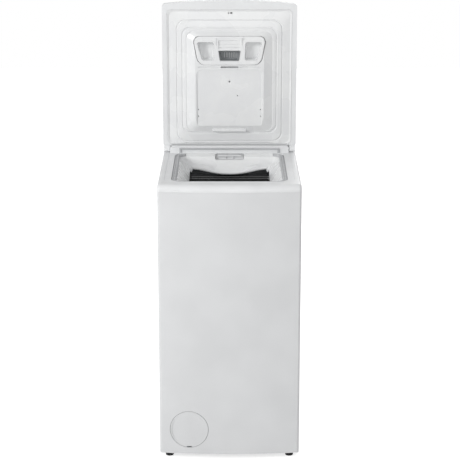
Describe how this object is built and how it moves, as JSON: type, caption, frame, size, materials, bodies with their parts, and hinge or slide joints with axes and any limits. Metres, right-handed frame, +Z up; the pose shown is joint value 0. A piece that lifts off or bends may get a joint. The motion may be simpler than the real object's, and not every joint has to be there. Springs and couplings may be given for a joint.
{
  "type": "top load washing machine",
  "caption": "Slim top-load washing machine with a bowed front, an open lid that carries the detergent box, a grey door seal and a horizontal drum.",
  "frame": {"origin": "on the floor under the middle of the outer box", "axes": "+Z up, +X to the right seen from the front, the front faces -Y; the lid is stored open"},
  "size_m": [0.4, 0.6, 1.2679],
  "materials": {
    "body_paint": "satin",
    "white_plastic": "satin",
    "gloss_white": "gloss",
    "grey_seal": "matte",
    "black_rubber": "matte",
    "zinc_steel": "galvanised",
    "stainless": "brushed",
    "grey_plastic": "moulded",
    "dark_window": "gloss",
    "board_green": "solder mask",
    "tub_plastic": "moulded",
    "concrete": "cast",
    "cast_alu": "cast",
    "blue_grey": "moulded"
  },
  "bodies": {
    "cabinet": {"front_panel": "body_paint", "side_panel_left": "body_paint", "side_panel_right": "body_paint", "rear_panel": "zinc_steel", "base_tray": "zinc_steel", "rear_feet": "black_rubber", "spring_rails": "zinc_steel", "top_frame": "white_plastic", "door_gasket": "grey_seal", "loading_collar": "gloss_white", "water_nozzles": "white_plastic", "bellows_seal": "black_rubber", "lid_lock": "grey_plastic", "drain_pump": "grey_plastic", "sump_hose": "black_rubber", "inlet_valve": "white_plastic", "fill_hose": "black_rubber", "drain_spigot": "grey_plastic", "power_inlet": "black_rubber", "cabinet_screws": "zinc_steel", "console_housing": "white_plastic", "control_fascia": "gloss_white", "display_window": "dark_window", "control_board": "board_green", "lid_hinge_pins": "zinc_steel", "suspension_springs": "zinc_steel", "damper_cylinders": "grey_plastic"},
    "lid": {"lid_shell": "white_plastic", "lid_liner": "gloss_white"},
    "dispenser": {"dispenser_tray": "gloss_white", "siphon_cap": "blue_grey"},
    "knob": {"programme_knob": "white_plastic"},
    "start": {"start_button": "gloss_white"},
    "spin": {"spin_button": "gloss_white"},
    "filter_access": {"filter_cover": "white_plastic"},
    "filter": {"filter_cap": "blue_grey"},
    "foot_left": {"front_foot_left": "black_rubber"},
    "foot_right": {"front_foot_right": "black_rubber"},
    "tub": {"tub_left_half": "tub_plastic", "tub_right_half": "tub_plastic", "tub_screws": "zinc_steel", "drum_bearings": "zinc_steel", "shaft_seals": "black_rubber", "heating_element": "zinc_steel", "counterweight_front": "concrete", "counterweight_rear": "concrete", "damper_rods": "zinc_steel", "motor_housing": "cast_alu", "drive_belt": "black_rubber"},
    "drum": {"drum_shell": "stainless", "drum_ends": "stainless", "drum_shafts": "zinc_steel", "drum_lifters": "white_plastic", "drum_pulley": "cast_alu", "flap_hinge_pins": "zinc_steel"},
    "front_flap": {"front_drum_flap": "stainless"},
    "rear_flap": {"rear_drum_flap": "stainless"},
    "latch_button": {"flap_latch_button": "grey_plastic"},
    "rotor": {"motor_rotor": "zinc_steel", "motor_pulley": "zinc_steel"}
  },
  "joints": [
    {"name": "lid_hinge", "type": "hinge", "parent": "cabinet", "child": "lid", "pos_m": [0, 0.15, 0.818], "axis": [1, 0, 0], "range_deg": [0, 90]},
    {"name": "dispenser_removal", "type": "slide", "parent": "lid", "child": "dispenser", "axis": [0, -1, 0], "range_m": [0, 0.04]},
    {"name": "programme_turn", "type": "hinge", "parent": "cabinet", "child": "knob", "pos_m": [0.12, 0.23243, 0.85743], "axis": [0, -0.7071, 0.7071], "continuous": true},
    {"name": "start_press", "type": "slide", "parent": "cabinet", "child": "start", "axis": [0, 0.7071, -0.7071], "range_m": [0, 0.002], "stiffness_N_per_m": 700},
    {"name": "spin_press", "type": "slide", "parent": "cabinet", "child": "spin", "axis": [0, 0.7071, -0.7071], "range_m": [0, 0.002], "stiffness_N_per_m": 700},
    {"name": "filter_cover_removal", "type": "slide", "parent": "cabinet", "child": "filter_access", "axis": [0, -1, 0], "range_m": [0, 0.06]},
    {"name": "filter_turn", "type": "hinge", "parent": "cabinet", "child": "filter", "pos_m": [-0.1155, -0.2, 0.0895], "axis": [0, -1, 0], "range_deg": [0, 180]},
    {"name": "foot_left_turn", "type": "hinge", "parent": "cabinet", "child": "foot_left", "pos_m": [-0.173, -0.265, 0.02], "axis": [0, 0, 1], "continuous": true},
    {"name": "foot_right_turn", "type": "hinge", "parent": "cabinet", "child": "foot_right", "pos_m": [0.173, -0.265, 0.02], "axis": [0, 0, 1], "continuous": true},
    {"name": "tub_suspension", "type": "slide", "parent": "cabinet", "child": "tub", "axis": [0, 0, 1], "range_m": [-0.008, 0.008], "stiffness_N_per_m": 12000, "springref_m": 0.02875, "deforming": ["suspension_springs", "bellows_seal", "sump_hose"]},
    {"name": "drum_spin", "type": "hinge", "parent": "tub", "child": "drum", "pos_m": [0, -0.025, 0.45], "axis": [1, 0, 0], "continuous": true},
    {"name": "front_flap_hinge", "type": "hinge", "parent": "drum", "child": "front_flap", "pos_m": [0, -0.13087, 0.64911], "axis": [1, 0, 0], "range_deg": [-85, 0]},
    {"name": "rear_flap_hinge", "type": "hinge", "parent": "drum", "child": "rear_flap", "pos_m": [0, 0.08087, 0.64911], "axis": [-1, 0, 0], "range_deg": [-85, 0]},
    {"name": "latch_press", "type": "slide", "parent": "front_flap", "child": "latch_button", "axis": [0, 0, -1], "range_m": [0, 0.003], "stiffness_N_per_m": 600},
    {"name": "motor_spin", "type": "hinge", "parent": "tub", "child": "rotor", "pos_m": [0, 0.12, 0.115], "axis": [1, 0, 0], "continuous": true}
  ],
  "couplings": [
    {"joint": "motor_spin", "follows": "drum_spin", "ratio": 11.818}
  ]
}
